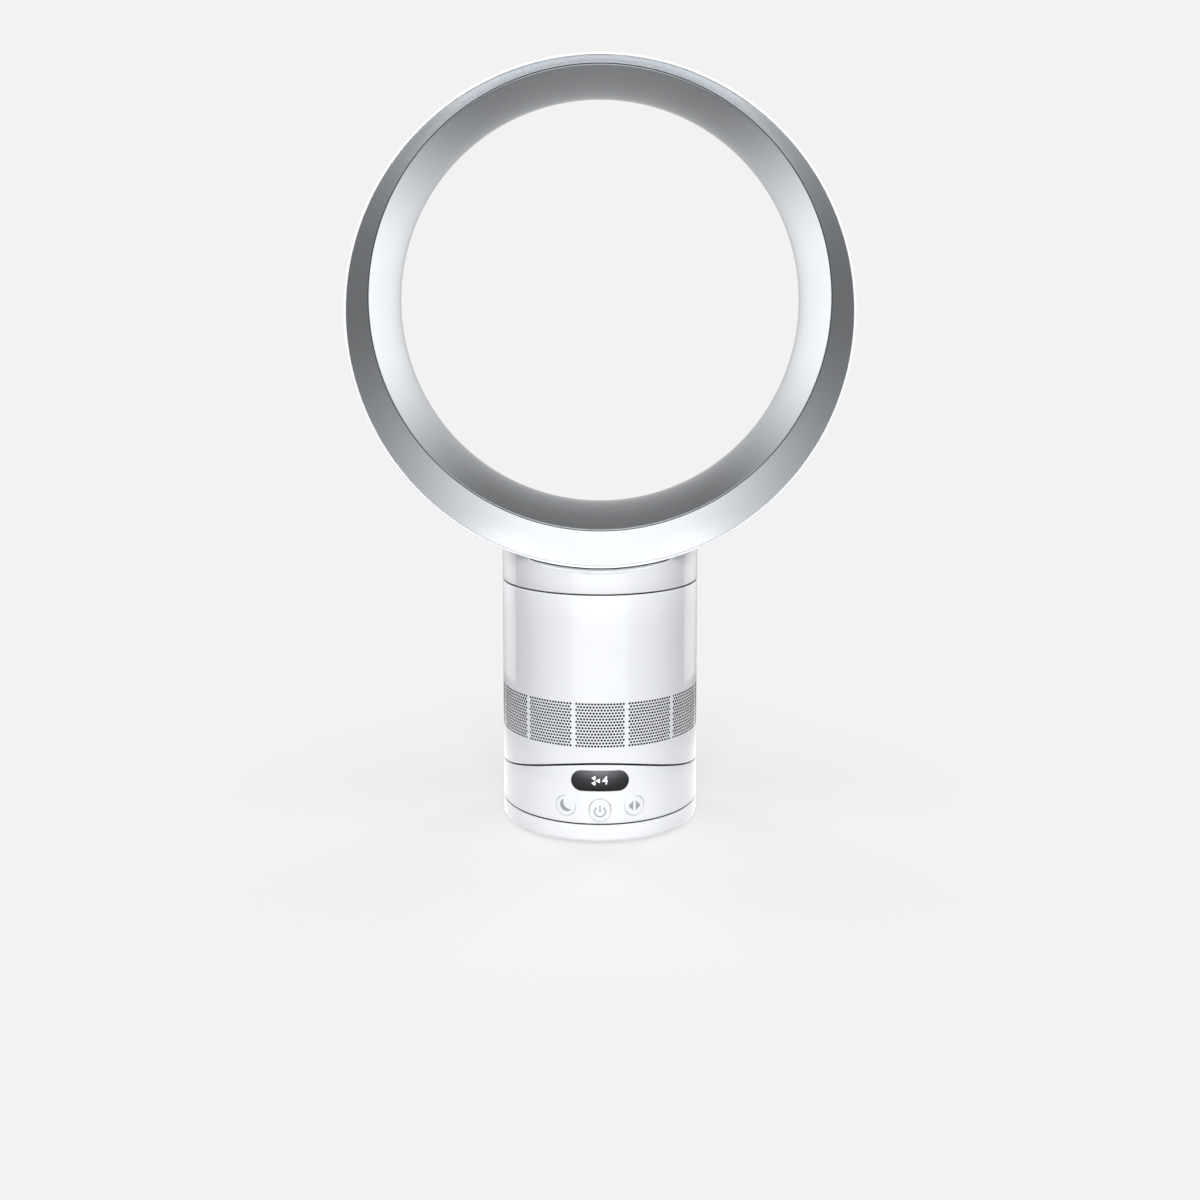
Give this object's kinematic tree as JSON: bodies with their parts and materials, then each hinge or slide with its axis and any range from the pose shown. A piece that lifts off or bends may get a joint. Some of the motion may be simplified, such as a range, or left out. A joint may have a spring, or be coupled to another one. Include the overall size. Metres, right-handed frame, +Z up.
{
  "type": "bladeless desk fan",
  "caption": "Bladeless desk fan: a tall ring nozzle on a round motor body that tilts on a control section, which swings on a round foot.",
  "frame": {"origin": "middle of the plane that the foot rests on", "axes": "+Z up along the body's axis; the front of the ring, the display and the buttons face -Y; +X is to the right seen from the front"},
  "size_m": [0.358, 0.1482, 0.555],
  "materials": {
    "white_gloss": "glossy white moulded ABS",
    "silver_trim": "silver metallic paint on moulded ABS",
    "display_black": "smoked acrylic window",
    "dark_nylon": "glass-filled nylon",
    "pale_nylon": "natural acetal",
    "steel": "bare steel",
    "copper": "enamelled copper winding",
    "board": "circuit board",
    "rubber": "moulded rubber",
    "foam": "open-cell foam"
  },
  "bodies": {
    "foot": {"foot_shell": "white_gloss", "foot_pad_ring": "rubber", "ballast_plate": "steel", "bearing_ring": "pale_nylon", "swing_gear": "pale_nylon", "inlet_socket": "dark_nylon"},
    "control_section": {"control_shell": "white_gloss", "control_floor": "dark_nylon", "swing_motor": "steel", "control_board": "board", "display_module": "display_black", "display_lens": "display_black", "power_dish": "white_gloss", "tilt_cradle": "dark_nylon", "friction_pad_left": "pale_nylon", "friction_pad_right": "pale_nylon"},
    "pinion": {"swing_pinion": "pale_nylon"},
    "power_key": {"power_button": "white_gloss"},
    "sleep_key": {"sleep_button": "white_gloss"},
    "swing_key": {"swing_button": "white_gloss"},
    "fan_head": {"tilt_carriage": "dark_nylon", "main_board": "board", "main_casing": "white_gloss", "intake_foam": "foam", "intake_liner": "foam", "impeller_housing": "dark_nylon", "resilient_mount": "rubber", "annular_seal": "rubber", "motor_stator": "copper", "bearing_lower": "steel", "bearing_upper": "steel", "motor_bucket_lower": "dark_nylon", "motor_bucket_upper": "dark_nylon", "diffuser": "dark_nylon", "flow_guide": "dark_nylon", "neck_seal": "rubber", "nozzle_outer_casing": "white_gloss", "nozzle_inner_casing": "silver_trim", "front_guide_ring": "silver_trim", "rear_casing_ring": "white_gloss"},
    "rotor": {"impeller": "dark_nylon", "motor_shaft": "steel", "motor_rotor": "steel"}
  },
  "joints": [
    {"name": "swing", "type": "hinge", "parent": "foot", "child": "control_section", "pos_m": [0, 0, 0.0147], "axis": [0, 0, 1], "range_deg": [-45, 45]},
    {"name": "tilt", "type": "hinge", "parent": "control_section", "child": "fan_head", "pos_m": [0, 0, 0.226], "axis": [1, 0, 0], "range_deg": [-10, 10]},
    {"name": "impeller_spin", "type": "hinge", "parent": "fan_head", "child": "rotor", "pos_m": [0, 0, 0.105], "axis": [0, 0, 1], "continuous": true},
    {"name": "pinion_turn", "type": "hinge", "parent": "control_section", "child": "pinion", "pos_m": [0, 0.03, 0.01], "axis": [0, 0, 1], "range_deg": [-140, 140]},
    {"name": "power_press", "type": "slide", "parent": "control_section", "child": "power_key", "axis": [0, 1, 0], "range_m": [0, 0.0012], "stiffness_N_per_m": 900},
    {"name": "sleep_press", "type": "slide", "parent": "control_section", "child": "sleep_key", "axis": [0.3371, 0.9415, 0], "range_m": [0, 0.0012], "stiffness_N_per_m": 900},
    {"name": "swing_press", "type": "slide", "parent": "control_section", "child": "swing_key", "axis": [-0.3371, 0.9415, 0], "range_m": [0, 0.0012], "stiffness_N_per_m": 900}
  ],
  "couplings": [
    {"joint": "pinion_turn", "follows": "swing", "ratio": 3}
  ]
}
